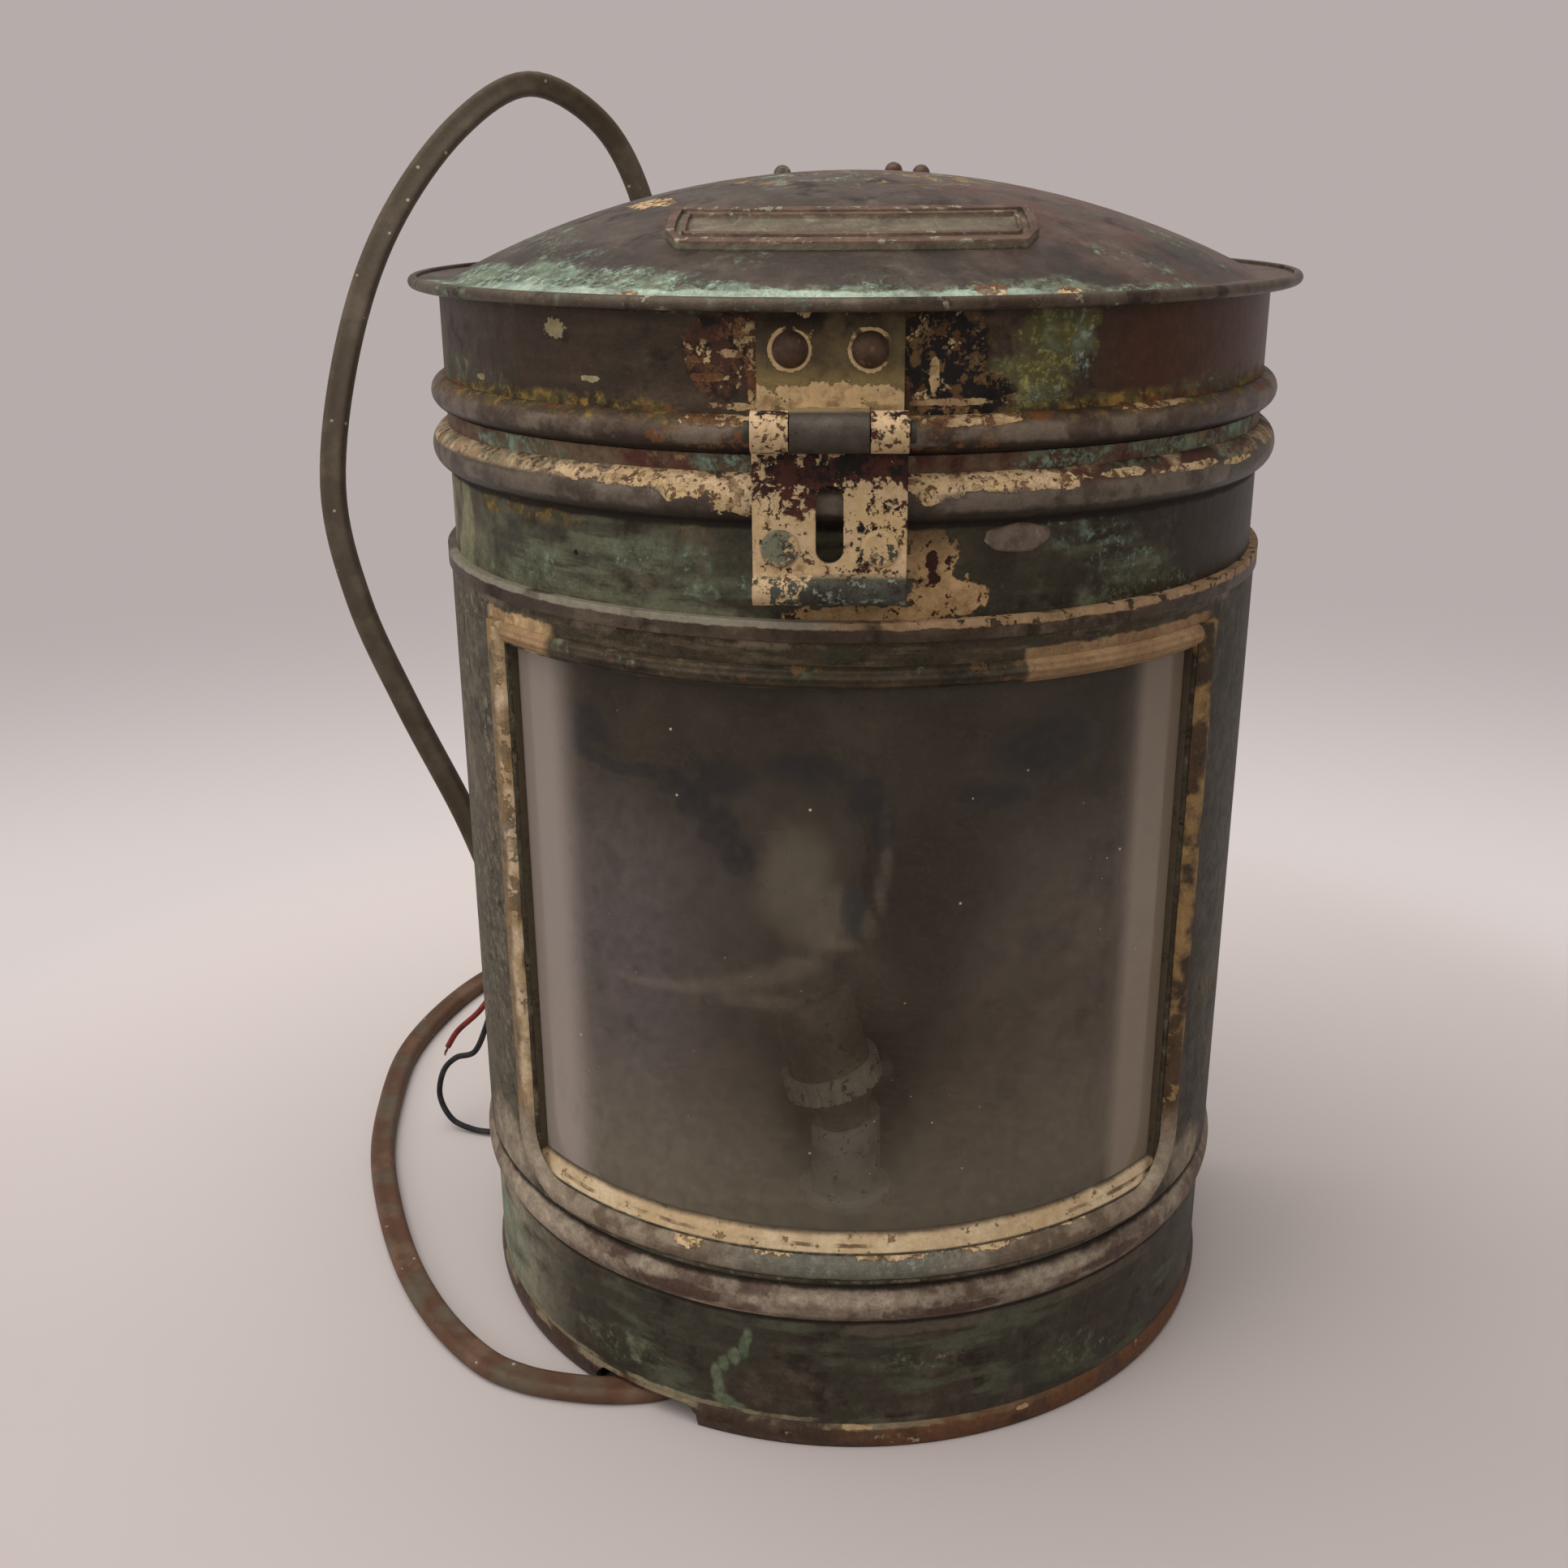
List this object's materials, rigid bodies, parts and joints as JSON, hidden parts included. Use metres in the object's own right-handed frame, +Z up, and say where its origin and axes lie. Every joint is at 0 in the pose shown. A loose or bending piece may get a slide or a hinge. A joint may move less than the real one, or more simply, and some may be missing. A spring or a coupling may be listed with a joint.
{
  "type": "ship stern lantern",
  "caption": "Copper ship stern lantern with a curved front window, hinged domed lid with a hasp, bayonet lamp inside, rear bracket socket and a flat twin cable.",
  "frame": {"origin": "on the axis of the round front, on the plane that the base stands on", "axes": "+Z up, -Y out of the window, +Y out of the flat back, +X to the right seen from the front"},
  "size_m": [0.3388, 0.3845, 0.4138],
  "materials": {
    "weathered_copper": "dark brown copper with green patina",
    "green_copper": "green patinated copper",
    "red_copper": "reddish brown copper",
    "lid_copper": "dark grey brown copper with turquoise patches",
    "cream_paint": "chipped cream paint over copper",
    "putty": "old cream putty",
    "window_glass": "dirty curved glass",
    "bulb_glass": "dusty clear glass",
    "holder_brass": "dull old brass",
    "porcelain": "grimy white glaze",
    "pin_iron": "dark iron",
    "solder": "dull grey solder",
    "filament": "thin wire",
    "cable_sheath": "khaki to red-brown sheath",
    "red_core": "red insulation",
    "black_core": "black insulation"
  },
  "bodies": {
    "body": {"base_band": "green_copper", "base_rim": "red_copper", "base_roll": "weathered_copper", "base_pan": "weathered_copper", "window_shell": "green_copper", "window_frame": "cream_paint", "head_bead": "green_copper", "glass_putty": "putty", "window_glass": "window_glass", "glass_channel_left": "weathered_copper", "glass_channel_right": "weathered_copper", "glass_sill": "weathered_copper", "glass_head": "weathered_copper", "seam_ring": "weathered_copper", "upper_band": "weathered_copper", "body_bead": "green_copper", "inner_collar": "weathered_copper", "solder_patch": "solder", "hinge_body_leaf": "holder_brass", "hinge_body_rivets": "weathered_copper", "hinge_pin": "pin_iron", "socket_plate": "weathered_copper", "socket_strap": "weathered_copper", "socket_rivets": "weathered_copper", "lamp_pillar": "porcelain", "holder_cap": "holder_brass", "holder_barrel": "holder_brass", "holder_insert": "porcelain", "holder_plungers": "holder_brass", "shade_ring": "holder_brass", "bulb_cap": "holder_brass", "bulb_glass": "bulb_glass", "bulb_stem": "bulb_glass", "bulb_filament": "filament", "terminal_block": "porcelain", "cable": "cable_sheath", "core_red": "red_core", "core_black": "black_core"},
    "lid": {"lid_band": "red_copper", "lid_bead": "red_copper", "dome": "lid_copper", "dome_back": "lid_copper", "brim_wire": "lid_copper", "name_plate": "lid_copper", "dome_rivets": "lid_copper", "hinge_lid_leaf": "holder_brass", "hinge_lid_rivets": "weathered_copper", "hasp_plate": "cream_paint", "hasp_rivets": "cream_paint", "hasp_pin": "pin_iron"},
    "hasp": {"hasp_leaf": "cream_paint", "hasp_discs": "cream_paint"}
  },
  "joints": [
    {"name": "lid_hinge", "type": "hinge", "parent": "body", "child": "lid", "pos_m": [0, 0.0478, 0.30815], "axis": [-1, 0, 0], "range_deg": [0, 100]},
    {"name": "hasp_hinge", "type": "hinge", "parent": "lid", "child": "hasp", "pos_m": [-0.005, -0.1381, 0.3155], "axis": [-1, 0, 0], "range_deg": [0, 120]}
  ]
}
